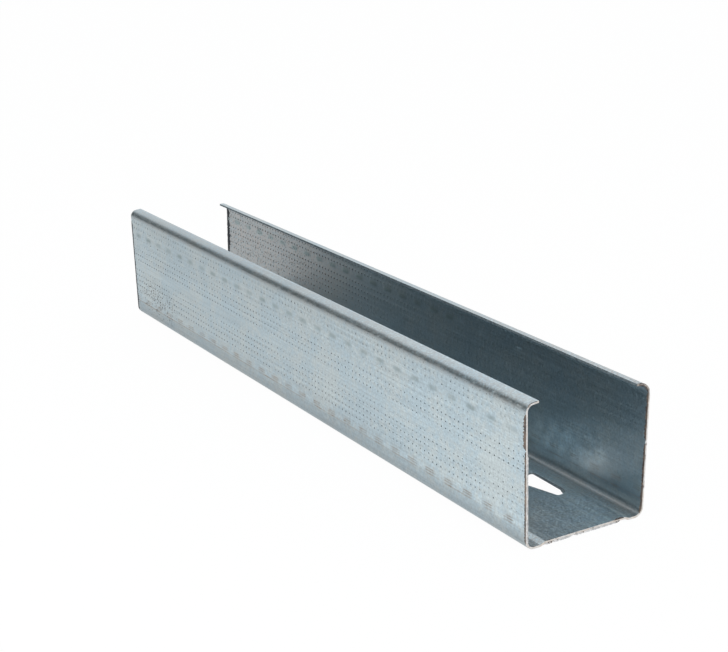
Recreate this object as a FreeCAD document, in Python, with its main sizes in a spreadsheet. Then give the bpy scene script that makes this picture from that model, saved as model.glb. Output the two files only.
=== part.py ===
"""Lipped steel stud: one strip of thin galvanised sheet, roll formed into a C with inturned lips.

Millimetres. The stud lies on its web. +Z is up, out of the web and along the flanges, Y runs along the
length and X across the web. The origin is under the middle of the web, halfway along. The service hole
is near the -Y end.
"""
import FreeCAD, Part
import os
import Sketcher

SIZES = {
    "stud_length": 300.0,
    "sheet_thickness": 0.75,
    # The web, and the bends that turn it up into the flanges. Bend radii are on the hollow side.
    "web_width": 48.8,
    "web_bend_radius": 2.75,
    # The stud stands on two flat strips. Between them the web is pressed up as one long panel.
    "foot_strip_width": 2.5,
    "panel_slope_run": 2.0,
    "panel_rise": 0.75,
    "panel_bend_radius": 1.0,
    # One flange is taller than the other, so that two studs box together. Both spring open a little.
    "left_flange_height": 49.8,
    "left_flange_lean": 1.3,
    "right_flange_height": 47.3,
    "right_flange_lean": 0.65,
    # Each flange turns in at its top, and the flat of the lip rises slightly towards its edge.
    "left_lip_bend_radius": 2.15,
    "left_lip_flat": 2.15,
    "left_lip_rise": 0.5,
    "right_lip_bend_radius": 3.65,
    "right_lip_flat": 1.35,
    "right_lip_rise": 0.3,
    # The service hole is U shaped: a tapered tongue of the web reaches into it from the end of the hole
    # that is nearer the stud's end, with a lobe of the hole on both sides of it. Each lobe narrows
    # towards the tongue's root.
    "hole_from_end": 25.8,
    "hole_length": 20.65,
    "hole_far_radius": 1.0,
    "lobe_width": 5.1,
    "lobe_corner_radius": 4.2,
    "tongue_length": 18.2,
    "tongue_root_width": 18.3,
    "tongue_tip_width": 8.0,
    "tongue_root_radius": 0.7,
    "tongue_tip_radius": 1.0,
}

# Shares of a lobe's width that the bends at its two near corners may take.
LOBE_CORNER_SHARE = 0.84
LOBE_ROOT_SHARE = 0.15

HALF_PANEL = (
    "(Size.web_width / 2 - Size.web_bend_radius - Size.sheet_thickness"
    " - Size.foot_strip_width - Size.panel_slope_run)"
)
HALF_FEET = f"({HALF_PANEL} + Size.panel_slope_run)"
LEFT_TOP = "(-Size.web_width / 2 - Size.left_flange_lean)"
LEFT_EDGE = f"({LEFT_TOP} + Size.left_lip_bend_radius + Size.sheet_thickness + Size.left_lip_flat)"
RIGHT_TOP = "(Size.web_width / 2 + Size.right_flange_lean)"
RIGHT_EDGE = f"({RIGHT_TOP} - Size.right_lip_bend_radius - Size.sheet_thickness - Size.right_lip_flat)"

# The outer face of the section, from the left lip's edge down, under the web and up to the right lip's
# edge, as if every bend were sharp. Each corner has its name, its place across and up, and the signs of
# the step from it, across and up, to the same corner of the inner face.
OUTER_CORNERS = (
    ("left_edge", LEFT_EDGE, "Size.left_flange_height + Size.left_lip_rise", (0, -1)),
    ("left_top", LEFT_TOP, "Size.left_flange_height", (1, -1)),
    ("left_heel", "-Size.web_width / 2", "0", (1, 1)),
    ("left_foot", f"-{HALF_FEET}", "0", (0, 1)),
    ("left_brow", f"-{HALF_PANEL}", "Size.panel_rise", (0, 1)),
    ("right_brow", HALF_PANEL, "Size.panel_rise", (0, 1)),
    ("right_foot", HALF_FEET, "0", (0, 1)),
    ("right_heel", "Size.web_width / 2", "0", (-1, 1)),
    ("right_top", RIGHT_TOP, "Size.right_flange_height", (-1, -1)),
    ("right_edge", RIGHT_EDGE, "Size.right_flange_height + Size.right_lip_rise", (0, -1)),
)
CORNER_NAMES = [corner[0] for corner in OUTER_CORNERS]

# Each bend of the sheet: its name, its corners, the size that sets its hollow side's radius, and
# whether that hollow side is the inner face of the section.
BENDS = (
    ("WebBend", ("left_heel", "right_heel"), "web_bend_radius", True),
    ("LeftLipBend", ("left_top",), "left_lip_bend_radius", True),
    ("RightLipBend", ("right_top",), "right_lip_bend_radius", True),
    ("FootBend", ("left_foot", "right_foot"), "panel_bend_radius", True),
    ("BrowBend", ("left_brow", "right_brow"), "panel_bend_radius", False),
)


def make_sheet(document, sizes):
    """The spreadsheet of driving sizes, one alias to a size."""
    sheet = document.addObject("Spreadsheet::Sheet", "Size")
    for row, (name, value) in enumerate(sizes.items(), start=1):
        sheet.set(f"A{row}", name)
        sheet.set(f"B{row}", str(value))
        sheet.setAlias(f"B{row}", name)
    document.recompute()
    return sheet


def make_sketch(body, name, plane_role):
    """An empty sketch on one of the body's own origin planes."""
    sketch = body.newObject("Sketcher::SketchObject", name)
    plane = next(feature for feature in body.Origin.OriginFeatures if feature.Role == plane_role)
    sketch.AttachmentSupport = (plane, "")
    sketch.MapMode = "FlatFace"
    return sketch


def draw_loop(sketch, points):
    """A closed loop of straight lines through the points. Line i starts at point i."""
    count = len(points)
    corners = [FreeCAD.Vector(across, along, 0) for across, along in points]
    for i in range(count):
        sketch.addGeometry(Part.LineSegment(corners[i], corners[(i + 1) % count]), False)
    for i in range(count):
        sketch.addConstraint(Sketcher.Constraint("Coincident", i, 2, (i + 1) % count, 1))


def bind_size(sketch, name, expression, kind, *where):
    """Add a dimension to the sketch and tie it to the sheet."""
    index = sketch.addConstraint(Sketcher.Constraint(kind, *where, sketch.evalExpression(expression)))
    sketch.renameConstraint(index, name)
    sketch.setExpression(f"Constraints.{name}", expression)


def bind_corner(sketch, line, name, across, along):
    """Hold the start of a line at its two distances from the sketch's origin."""
    bind_size(sketch, f"{name}_across", across, "DistanceX", -1, 1, line, 1)
    bind_size(sketch, f"{name}_along", along, "DistanceY", -1, 1, line, 1)


def draw_section(body, sheet):
    """The cross-section of the sheet with sharp bends: its outer face, then its inner face back again."""
    sketch = make_sketch(body, "Section", "XZ_Plane")
    places = [corner[1:3] for corner in OUTER_CORNERS]
    outer = [(sketch.evalExpression(across), sketch.evalExpression(up)) for across, up in places]
    steps = [[sign * sheet.sheet_thickness for sign in corner[3]] for corner in OUTER_CORNERS]
    inner = [(place[0] + step[0], place[1] + step[1]) for place, step in zip(outer, steps)]
    draw_loop(sketch, outer + inner[::-1])
    for line, (name, across, up, _) in enumerate(OUTER_CORNERS):
        bind_corner(sketch, line, name, across, up)
    right_edge_line = len(outer) - 1
    left_edge_line = 2 * len(outer) - 1
    for line in range(right_edge_line):
        inner_line = left_edge_line - 1 - line
        sketch.addConstraint(Sketcher.Constraint("Parallel", inner_line, line))
        bind_size(sketch, f"wall_{line}", "Size.sheet_thickness", "Distance", inner_line, 1, line)
    sketch.addConstraint(Sketcher.Constraint("Perpendicular", right_edge_line, right_edge_line - 1))
    sketch.addConstraint(Sketcher.Constraint("Perpendicular", left_edge_line, 0))
    return sketch


def draw_hole(body):
    """The outline of the service hole, with sharp corners, in the plane that the stud stands on."""
    sketch = make_sketch(body, "HoleOutline", "XY_Plane")
    side = "(Size.tongue_root_width / 2 + Size.lobe_width)"
    root = "Size.tongue_root_width / 2"
    tip = "Size.tongue_tip_width / 2"
    near_root = "(Size.hole_from_end - Size.stud_length / 2)"
    far_edge = f"({near_root} + Size.hole_length)"
    tongue_end = f"({near_root} + Size.tongue_length)"
    right_half = ((tip, tongue_end), (root, near_root), (side, near_root), (side, far_edge))
    corners = right_half + tuple((f"-{across}", along) for across, along in right_half[::-1])
    draw_loop(sketch, [[sketch.evalExpression(text) for text in corner] for corner in corners])
    for line, (across, along) in enumerate(corners):
        bind_corner(sketch, line, f"corner_{line}", across, along)
    return sketch


def edges_through(shape, points):
    """Names of the straight edges that pass through the given points, one to a point."""
    names = []
    for point in points:
        spot = Part.Vertex(point)
        gaps = [edge.distToShape(spot)[0] for edge in shape.Edges]
        names.append(f"Edge{gaps.index(min(gaps)) + 1}")
    return names


def round_edges(body, name, points, expression):
    """A fillet on the edges through the points, its radius tied to the sheet."""
    base = body.Tip
    fillet = body.newObject("PartDesign::Fillet", name)
    fillet.Base = (base, edges_through(base.Shape, points))
    fillet.setExpression("Radius", expression)
    body.Document.recompute()
    return fillet


def section_points(section, names, inner):
    """Corners of the section's outer or inner face, by name, halfway along the stud."""
    last = 2 * len(CORNER_NAMES) - 1
    lines = [last - CORNER_NAMES.index(name) if inner else CORNER_NAMES.index(name) for name in names]
    starts = [section.Geometry[line].StartPoint for line in lines]
    return [FreeCAD.Vector(start.x, 0, start.y) for start in starts]


def bend_sheet(body, section):
    """Round every bend on both faces: its hollow side, and its full side one sheet thickness larger."""
    for name, corners, radius, hollow_inside in BENDS:
        hollow_side = section_points(section, corners, hollow_inside)
        full_side = section_points(section, corners, not hollow_inside)
        round_edges(body, f"{name}Hollow", hollow_side, f"Size.{radius}")
        round_edges(body, f"{name}Full", full_side, f"Size.{radius} + Size.sheet_thickness")


def punch_hole(body, sheet):
    """Cut the service hole through the web and round its eight corners."""
    outline = draw_hole(body)
    body.Document.recompute()
    whole_volume = body.Tip.Shape.Volume
    hole = body.newObject("PartDesign::Pocket", "ServiceHole")
    hole.Profile = outline
    hole.Type = "ThroughAll"
    hole.SideType = "Symmetric"
    body.Document.recompute()
    if hole.Shape.Volume >= whole_volume:
        raise RuntimeError("the service hole cuts nothing")
    mid_sheet = sheet.panel_rise + sheet.sheet_thickness / 2
    starts = [line.StartPoint for line in outline.Geometry]
    corners = [FreeCAD.Vector(start.x, start.y, mid_sheet) for start in starts]
    tips = [corners[i] for i in (0, 7)]
    roots = [corners[i] for i in (1, 6)]
    near_corners = [corners[i] for i in (2, 5)]
    far_corners = [corners[i] for i in (3, 4)]
    tip_radius = "min(Size.tongue_tip_radius; Size.tongue_tip_width / 4)"
    root_radius = f"min(Size.tongue_root_radius; Size.lobe_width * {LOBE_ROOT_SHARE})"
    near_radius = f"min(Size.lobe_corner_radius; Size.lobe_width * {LOBE_CORNER_SHARE})"
    round_edges(body, "TongueTips", tips, tip_radius)
    round_edges(body, "TongueRoots", roots, root_radius)
    round_edges(body, "LobeNearCorners", near_corners, near_radius)
    round_edges(body, "LobeFarCorners", far_corners, "Size.hole_far_radius")


def make_stud(document, sheet):
    """The whole stud: the section run along its length, its bends rounded and its hole punched."""
    body = document.addObject("PartDesign::Body", "Stud")
    body.Label = "c_stud"
    section = draw_section(body, sheet)
    document.recompute()
    strip = body.newObject("PartDesign::Pad", "Strip")
    strip.Profile = section
    strip.SideType = "Symmetric"
    strip.setExpression("Length", "Size.stud_length")
    document.recompute()
    bend_sheet(body, section)
    punch_hole(body, sheet)
    body.Placement = FreeCAD.Placement(FreeCAD.Vector(0, 0, 0), FreeCAD.Rotation())
    return body


def check(document, pieces):
    """Stop if any object failed to build, or any piece is not one sound solid."""
    for item in document.Objects:
        if "Invalid" in item.State or "Error" in item.State:
            raise RuntimeError(f"{item.Label} failed: {item.State}")
    for piece in pieces:
        if piece.Shape.isNull() or not piece.Shape.isValid() or len(piece.Shape.Solids) != 1:
            raise RuntimeError(f"{piece.Label} is not one valid solid")


def main():
    """Build the document and write each piece to its own file."""
    os.makedirs("parts", exist_ok=True)
    document = FreeCAD.newDocument("LippedStud")
    sheet = make_sheet(document, SIZES)
    pieces = [make_stud(document, sheet)]
    document.recompute()
    check(document, pieces)
    for piece in pieces:
        box = piece.Shape.BoundBox
        print(piece.Label, "volume", round(piece.Shape.Volume, 1), "box", box)
        piece.Shape.exportStep(f"parts/{piece.Label}.step")


main()
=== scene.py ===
# %% [markdown]
# # A lipped steel stud
#
# The object is a 300 mm cut length of the stud that stands in partition walls. It is one strip of thin
# galvanised steel, roll formed into a C with inturned lips, punched with a service hole and sawn to length.
# Its flanges carry rows of pin dimples, which stop a screw point from sliding.
#
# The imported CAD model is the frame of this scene: it says where every face is. The solid is the plain
# folded sheet, so this script keeps its shape and makes the sheet again with all that the rolls and the
# saw left on it.

# %% Load the CAD frame
import math
import random

import bpy
import numpy as np
from mathutils import Matrix, Vector, noise
from mathutils.geometry import delaunay_2d_cdt


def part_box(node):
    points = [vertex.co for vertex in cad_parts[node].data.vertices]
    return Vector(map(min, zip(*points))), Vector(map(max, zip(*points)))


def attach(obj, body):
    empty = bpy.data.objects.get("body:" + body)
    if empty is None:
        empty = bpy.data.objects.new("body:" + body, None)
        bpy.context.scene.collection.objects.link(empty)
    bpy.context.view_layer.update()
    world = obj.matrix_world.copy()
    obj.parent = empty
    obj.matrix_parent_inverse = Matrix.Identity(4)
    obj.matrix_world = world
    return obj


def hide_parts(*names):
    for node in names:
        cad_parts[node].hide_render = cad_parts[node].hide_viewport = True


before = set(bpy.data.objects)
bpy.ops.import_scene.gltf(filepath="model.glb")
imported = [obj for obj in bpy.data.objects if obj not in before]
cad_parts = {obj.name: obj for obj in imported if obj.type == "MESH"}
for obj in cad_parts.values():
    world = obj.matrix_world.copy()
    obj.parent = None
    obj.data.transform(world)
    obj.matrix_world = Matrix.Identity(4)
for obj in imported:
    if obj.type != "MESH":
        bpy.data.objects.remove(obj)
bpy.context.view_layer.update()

stud_low, stud_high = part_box("c_stud")

# %% [markdown]
# ## The camera
#
# A camera could be pointed at the object by eye. Here its place, its three angles and its focal length were
# worked out from straight edges of the stud, because a long part seen along its length shows any error in
# perspective at once. The camera's axes are built from the angles, as the columns of its matrix.

# %% Camera
CAMERA_PLACE = Vector((-0.29771, -0.49810, 0.21889))
LOOK_AZIMUTH = math.radians(31.595)
LOOK_DOWN = math.radians(18.048)
LOOK_ROLL = math.radians(-0.560)
FOCAL_LENGTH = 75.95
SENSOR_WIDTH = 36.0

forward = Vector((math.sin(LOOK_AZIMUTH), math.cos(LOOK_AZIMUTH), 0)) * math.cos(LOOK_DOWN)
forward.z = -math.sin(LOOK_DOWN)
level_right = Vector((math.cos(LOOK_AZIMUTH), -math.sin(LOOK_AZIMUTH), 0))
level_up = level_right.cross(forward)
camera_right = level_right * math.cos(LOOK_ROLL) + level_up * math.sin(LOOK_ROLL)
camera_up = level_up * math.cos(LOOK_ROLL) - level_right * math.sin(LOOK_ROLL)

camera_data = bpy.data.cameras.new("camera")
camera_data.sensor_width = SENSOR_WIDTH
camera_data.lens = FOCAL_LENGTH
camera_data.clip_start = 0.01
camera = bpy.data.objects.new("camera", camera_data)
camera_axes = Matrix((camera_right, camera_up, -forward)).transposed()
camera.matrix_world = Matrix.Translation(CAMERA_PLACE) @ camera_axes.to_4x4()
bpy.context.scene.collection.objects.link(camera)
bpy.context.scene.camera = camera
print("camera is", round(camera.location.length, 3), "m from the origin")

# %% [markdown]
# ## Shader nodes in few words
#
# Every material below is a small tree of nodes. A node could be added with four or five lines each time.
# This helper does it in one: it makes the node, sets its own settings, and fills each named input either
# with a plain value or with the output of another node.

# %% Helper for shader nodes
def add_node(tree, kind, inputs=(), **settings):
    """A new node. inputs pairs a socket's name or number with a value or with another node's output."""
    made = tree.nodes.new(kind)
    for name, value in settings.items():
        setattr(made, name, value)
    for socket, value in dict(inputs).items():
        if isinstance(value, bpy.types.NodeSocket):
            tree.links.new(value, made.inputs[socket])
        else:
            made.inputs[socket].default_value = value
    return made


def blend_colours(tree, share, first, second):
    """Mix two colours and hand back the mixed one."""
    inputs = {0: share, 6: first, 7: second}
    return add_node(tree, "ShaderNodeMix", inputs, data_type="RGBA").outputs[2]


def compute(tree, operation, *values, clamp=False):
    """One step of arithmetic on numbers that change over the surface."""
    inputs = enumerate(values)
    return add_node(tree, "ShaderNodeMath", inputs, operation=operation, use_clamp=clamp).outputs[0]


def remap(tree, value, low, high, to_low=0.0, to_high=1.0):
    """Spread the numbers from low to high over a new range, with soft ends."""
    inputs = {"Value": value, "From Min": low, "From Max": high, "To Min": to_low, "To Max": to_high}
    return add_node(tree, "ShaderNodeMapRange", inputs, interpolation_type="SMOOTHSTEP").outputs[0]


def bare_tree(owner):
    """The node tree of a world or a material, emptied."""
    owner.use_nodes = True
    owner.node_tree.nodes.clear()
    return owner.node_tree


print("node helpers ready")

# %% [markdown]
# ## The studio
#
# Bare zinc shows little colour of its own: it shows the room. A studio for metal is a white room with one
# darker side, because the dark side draws the bends. The room could be built of cards and cloth. A world
# whose brightness depends on direction does the same with one small node tree. The eye of the camera, and
# the metal outside that dark side, see it white.

# %% World: a white room with one darker side
DARK_SIDE = Vector((-0.57, 0.78, 0.24)).normalized()
DARK_SIDE_EDGE = 0.77
DARK_SIDE_CORE = 0.95
DARK_SIDE_COLOUR = (0.125, 0.145, 0.150, 1)
ROOM_COLOUR = (0.93, 0.97, 1.0, 1)
WHITE = (1, 1, 1, 1)

world = bpy.data.worlds.new("white_room")
bpy.context.scene.world = world
tree = bare_tree(world)
direction = add_node(tree, "ShaderNodeTexCoord").outputs["Generated"]
facing = add_node(tree, "ShaderNodeVectorMath", {0: direction, 1: DARK_SIDE}, operation="DOT_PRODUCT")
darkness = remap(tree, facing.outputs["Value"], DARK_SIDE_EDGE, DARK_SIDE_CORE)
room = blend_colours(tree, darkness, ROOM_COLOUR, DARK_SIDE_COLOUR)
rays = add_node(tree, "ShaderNodeLightPath")
seen = blend_colours(tree, rays.outputs["Is Camera Ray"], room, WHITE)
background = add_node(tree, "ShaderNodeBackground", {"Color": seen, "Strength": 1.0})
add_node(tree, "ShaderNodeOutputWorld", {"Surface": background.outputs[0]})
print("the dark side faces", tuple(round(v, 2) for v in DARK_SIDE))

# %% [markdown]
# The floor is a pale sheet that runs out of view. A plain white diffuse floor would render light grey. So
# most of what the camera and the metal see of it is a plain white of strength 1, and the rest is the real
# lit floor, which keeps the stud's shadow.

# %% Floor
FLOOR_HALF = 3.0
FLOOR_DROP = 0.00005
FLOOR_COLOUR = (0.86, 0.87, 0.87, 1)
SEEN_WHITE_SHARE = 0.97
MIRRORED_WHITE_SHARE = 0.92

floor_mesh = bpy.data.meshes.new("floor")
corner_signs = ((-1, -1), (1, -1), (1, 1), (-1, 1))
floor_corners = [(x * FLOOR_HALF, y * FLOOR_HALF, -FLOOR_DROP) for x, y in corner_signs]
floor_mesh.from_pydata(floor_corners, [], [(0, 1, 2, 3)])
floor = bpy.data.objects.new("floor", floor_mesh)
bpy.context.scene.collection.objects.link(floor)

floor_paint = bpy.data.materials.new("floor_white")
tree = bare_tree(floor_paint)
lit = add_node(tree, "ShaderNodeBsdfDiffuse", {"Color": FLOOR_COLOUR})
white = add_node(tree, "ShaderNodeEmission", {"Color": WHITE, "Strength": 1.0})
rays = add_node(tree, "ShaderNodeLightPath")
mirrored = compute(tree, "MAXIMUM", rays.outputs["Is Glossy Ray"], rays.outputs["Is Transmission Ray"])
by_camera = compute(tree, "MULTIPLY", rays.outputs["Is Camera Ray"], SEEN_WHITE_SHARE)
by_metal = compute(tree, "MULTIPLY", mirrored, MIRRORED_WHITE_SHARE)
share = compute(tree, "MAXIMUM", by_camera, by_metal)
shown = add_node(tree, "ShaderNodeMixShader", {0: share, 1: lit.outputs[0], 2: white.outputs[0]})
add_node(tree, "ShaderNodeOutputMaterial", {"Surface": shown.outputs[0]})
floor_mesh.materials.append(floor_paint)
print("floor", 2 * FLOOR_HALF, "m square")

# %% [markdown]
# A large soft lamp hangs above the camera and gives the floor its soft shadow. A second, smaller one stands
# low at the front left. It is near enough to fade along the stud, so the near end is the brightest.

# %% Lamps
LAMP_COLOUR = (1.0, 0.99, 0.97)


def hang_lamp(name, place, aim, size, watts):
    """A square soft lamp that faces a point."""
    lamp_data = bpy.data.lights.new(name, "AREA")
    lamp_data.shape = "SQUARE"
    lamp_data.size = size
    lamp_data.energy = watts
    lamp_data.color = LAMP_COLOUR
    lamp = bpy.data.objects.new(name, lamp_data)
    lamp.location = place
    lamp.rotation_euler = (aim - place).to_track_quat("-Z", "Y").to_euler()
    bpy.context.scene.collection.objects.link(lamp)
    print(name, watts, "W")


hang_lamp("soft_box", Vector((-0.35, -0.55, 1.10)), Vector((0, 0, 0)), 0.9, 3.0)
hang_lamp("front_fill", Vector((-0.42, -0.16, 0.16)), Vector((-0.02, -0.13, 0.02)), 0.25, 0.5)
bpy.context.scene.view_settings.view_transform = "Standard"

# %% [markdown]
# ## The section of the sheet
#
# The rolls bend a flat strip, so every place on it has an address: how far one has walked across the
# strip, how deep under its outer face, and how far along its length. The outline could be typed in as a
# long list of points. Instead a few sizes give ten sharp corners, and each is rounded with its own
# bend radius. All are in millimetres.

# %% Sizes of the section
SHEET = 0.75
WEB_WIDTH = 48.8
WEB_BEND = 2.75
FOOT_STRIP = 2.5
PANEL_SLOPE = 2.0
PANEL_RISE = 0.75
PANEL_BEND = 1.0
LEFT_HEIGHT = 49.8
LEFT_LEAN = 1.3
LEFT_LIP_BEND = 2.15
LEFT_LIP_FLAT = 2.15
LEFT_LIP_RISE = 0.5
RIGHT_HEIGHT = 47.3
RIGHT_LEAN = 0.65
RIGHT_LIP_BEND = 3.65
RIGHT_LIP_FLAT = 1.35
RIGHT_LIP_RISE = 0.3

half_web = WEB_WIDTH / 2
half_panel = half_web - WEB_BEND - SHEET - FOOT_STRIP - PANEL_SLOPE
half_feet = half_panel + PANEL_SLOPE
left_top = -half_web - LEFT_LEAN
right_top = half_web + RIGHT_LEAN
section_corners = [
    (left_top + LEFT_LIP_BEND + SHEET + LEFT_LIP_FLAT, LEFT_HEIGHT + LEFT_LIP_RISE, 0),
    (left_top, LEFT_HEIGHT, LEFT_LIP_BEND + SHEET),
    (-half_web, 0, WEB_BEND + SHEET),
    (-half_feet, 0, PANEL_BEND + SHEET),
    (-half_panel, PANEL_RISE, PANEL_BEND),
    (half_panel, PANEL_RISE, PANEL_BEND),
    (half_feet, 0, PANEL_BEND + SHEET),
    (half_web, 0, WEB_BEND + SHEET),
    (right_top, RIGHT_HEIGHT, RIGHT_LIP_BEND + SHEET),
    (right_top - RIGHT_LIP_BEND - SHEET - RIGHT_LIP_FLAT, RIGHT_HEIGHT + RIGHT_LIP_RISE, 0),
]
print("strip corners:", [(round(x, 2), round(z, 2)) for x, z, _ in section_corners])

# %% [markdown]
# Rounding a corner is one small sum: the bend starts where its circle touches the first side, and turns
# through the angle between the two sides. The same helper rounds the corners of the service hole later.

# %% Round the corners of a run of straight sides
def round_corners(corners, steps, closed=False):
    """Points and headings along a run of straight sides whose corners are (across, up, radius)."""
    spots = [Vector(corner[:2]) for corner in corners]
    count = len(spots)
    rounded = []
    bends = []
    for i, spot in enumerate(spots):
        ahead = (spots[(i + 1) % count] - spot).normalized()
        behind = (spot - spots[i - 1]).normalized()
        if not closed and i in (0, count - 1):
            way = ahead if i == 0 else behind
            rounded.append((spot, math.atan2(way.y, way.x)))
            bends.append((len(rounded) - 1, len(rounded) - 1))
            continue
        turn = math.atan2(behind.x * ahead.y - behind.y * ahead.x, behind.dot(ahead))
        side = math.copysign(1, turn)
        radius = corners[i][2]
        start = spot - behind * radius * math.tan(abs(turn) / 2)
        centre = start + Vector((-behind.y, behind.x)) * side * radius
        first = math.atan2(behind.y, behind.x)
        bends.append((len(rounded), len(rounded) + steps))
        for step in range(steps + 1):
            heading = first + turn * step / steps
            away = Vector((math.sin(heading), -math.cos(heading))) * side * radius
            rounded.append((centre + away, heading))
    return rounded, bends


BEND_STEPS = 32
rounded, bend_spans = round_corners(section_corners, BEND_STEPS)
walk_x = np.array([spot.x for spot, _ in rounded])
walk_z = np.array([spot.y for spot, _ in rounded])
walk_heading = np.unwrap([heading for _, heading in rounded])
walk_s = np.concatenate([[0], np.cumsum(np.hypot(np.diff(walk_x), np.diff(walk_z)))])
bend_starts = [walk_s[first] for first, _ in bend_spans]
bend_ends = [walk_s[last] for _, last in bend_spans]
print("width of the flat strip:", round(walk_s[-1], 2), "mm")

# %% [markdown]
# With the walk round the section known, one function turns an address on the strip into a point of space.
# A second finds how far one has walked when the flange reaches a given height.

# %% Addresses on the strip
NEAR_END = stud_low.y * 1000
LENGTH = stud_high.y * 1000 - NEAR_END
MIDDLE_OF_WEB = walk_s[-1] / 2


def sheet_point(walked, depth, along):
    """The point at a distance walked across the strip, a depth under its outer face and a place along."""
    heading = np.interp(walked, walk_s, walk_heading)
    across = np.interp(walked, walk_s, walk_x) - depth * math.sin(heading)
    up = np.interp(walked, walk_s, walk_z) + depth * math.cos(heading)
    return (across, NEAR_END + along, up)


def walked_at(side, height):
    """Distance walked where the flange of that side (-1 left, 1 right) reaches a height."""
    half = (walk_s < MIDDLE_OF_WEB) if side < 0 else (walk_s > MIDDLE_OF_WEB)
    order = np.argsort(walk_z[half])
    return float(np.interp(height, walk_z[half][order], walk_s[half][order]))


print("stud length", round(LENGTH, 3), "mm; middle of the web walked at", round(MIDDLE_OF_WEB, 2), "mm")

# %% [markdown]
# ## The pattern that the rolls press
#
# Each flange has the same pattern, set out from a smooth line at half its height. Rows of pin dimples run
# above and below it. Six rows up, the row of pins gives way to long soft finger marks, and six rows down
# to groups of three short grooves. Seven rows down, a crease ends the pattern. On the left flange the
# rolls ran slightly askew, so its columns of pins lean.

# %% Values of the pattern
PIN_PITCH = 2.487
COLUMNS = 120
END_INSET = 0.12
LIP_CUT_BACK = 2.2
PIN_ROWS = (8, 7, 5, 4, 3, 2, 1, -1, -2, -3, -4, -5)
FINGER_ROW = 6
GROOVE_ROW = -6
GROOVE_BASE = GROOVE_ROW + 0.12
CREASE_ROW = -7
FINGER_LENGTH = 6.4
FINGER_HEIGHT = 2.4
FINGER_DEPTH = 0.16
GROOVE_LENGTH = 5.6
GROOVE_HALF_WIDTH = 0.36
GROOVE_DEPTH = 0.07
GROOVE_RAMP = 0.6
GROOVE_SMEAR = 2.2
SMEAR_SHARE = 0.35
CREASE_DEPTH = 0.02
USUAL_PRESS = 0.75
PRESS_SWING = 0.6

flanges = {
    "left": {"side": -1, "middle": 24.8, "row_pitch": 2.53, "first_pin": 1.66, "slant": -0.0455,
             "first_finger": 7.13, "finger_pitch": 10.985, "first_groove": 9.2, "groove_pitch": 11.09,
             "grooves": (-0.97, -1.82, -2.87), "wear": 1.0, "finger_shift": -0.12},
    "right": {"side": 1, "middle": 23.75, "row_pitch": 2.50, "first_pin": 2.78, "slant": 0.0,
              "first_finger": 2.0, "finger_pitch": 11.05, "first_groove": 1.95, "groove_pitch": 11.1,
             "grooves": (0.55, -0.25, -2.87), "wear": 0.7, "finger_shift": 0.25},
}


def cut_back(walked):
    """How far the far end's cut falls short, on the right lip, where the saw left it at a slant."""
    lip = max(0.0, walked - bend_starts[8]) / (walk_s[-1] - bend_starts[8])
    return LIP_CUT_BACK * lip ** 1.5


def column_edges(flange, row, walked):
    """Places along the stud of the edges between the columns of pins, on a line."""
    lean = flange["slant"] * row * flange["row_pitch"]
    inner = flange["first_pin"] + PIN_PITCH * (np.arange(COLUMNS - 1) + 0.5) + lean
    return np.concatenate([[END_INSET], inner, [LENGTH - END_INSET - cut_back(walked)]])


print(len(PIN_ROWS) * COLUMNS, "pins on each flange")

# %% [markdown]
# The pressed marks are a depth over the flange. They could be painted as a texture. Here each is a small
# sum, so the same sum gives both the shape and the tone. A bell shape that is flat outside its reach keeps
# each mark by itself, and a soft step fades one thing into another.

# %% Depth of the pressed marks
def bell(distance, reach, flatness=2):
    """1 in the middle, 0 from the reach outwards, smooth in between. More flatness widens the top."""
    share = min(1.0, abs(distance) / reach)
    return (1 - share ** flatness) ** 2


def ease(value, low, high):
    """0 below low, 1 above high, and a soft step between."""
    share = min(1.0, max(0.0, (value - low) / (high - low)))
    return share * share * (3 - 2 * share)


def nearest_gap(along, first, pitch):
    """Distance from the nearest mark of a regular row of marks."""
    return along - first - pitch * round((along - first) / pitch)


def drift(*place):
    """A slow random swing about 0, the same at the same place in every run."""
    return noise.noise(Vector(place))


def pressed(flange, row, along):
    """Depths of the finger mark, the grooves and the crease at a place of the flange, and the smear."""
    side = flange["side"]
    height = row * flange["row_pitch"]
    finger_up = height - (FINGER_ROW + flange["finger_shift"]) * flange["row_pitch"]
    finger_gap = nearest_gap(along, flange["first_finger"], flange["finger_pitch"])
    finger = bell(finger_up, FINGER_HEIGHT / 2, 3) * bell(finger_gap, FINGER_LENGTH / 2, 4)
    finger *= USUAL_PRESS + PRESS_SWING * drift(along * 0.08, 1.0, side * 7)
    groove_gap = nearest_gap(along, flange["first_groove"], flange["groove_pitch"])
    within = min(1.0, max(0.0, (GROOVE_LENGTH / 2 - abs(groove_gap)) / GROOVE_RAMP))
    uneven = USUAL_PRESS + PRESS_SWING * drift(along * 0.5, height * 2, side * 9)
    wear = within * (flange["wear"] * uneven)
    over_base = height - GROOVE_BASE * flange["row_pitch"]
    grooves = flange["grooves"]
    groove = wear * max(bell(over_base - up, GROOVE_HALF_WIDTH) for up in grooves)
    smear = wear * bell(over_base - grooves[1], GROOVE_SMEAR) * (1 - 0.8 * ease(along, 190, 260))
    crease = max(0.0, 0.2 + along / 350 + 0.8 * drift(along * 0.12, 3.0, side * 4))
    return finger, groove, crease * bell(over_base - grooves[2], GROOVE_HALF_WIDTH), smear


left = flanges["left"]
print("first finger mark:", pressed(left, FINGER_ROW + left["finger_shift"], left["first_finger"]))

# %% [markdown]
# ## Making the sheet
#
# The dimples could be a bump texture, but then the mesh would be smooth. They could come from a
# displacement modifier, but that needs millions of faces. Here the mesh is laid in lines along the stud,
# fine where something is pressed and coarse where the sheet is plain, and each pin gets its own small
# hexagonal pit. The whole stud then stays one closed mesh.

# %% Lists that the mesh grows in
points = []
masks = {"pit": [], "press": [], "score": []}
faces = []
face_kinds = []
ZINC = 0
CUT = 1
PUNCHED = 2


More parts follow.
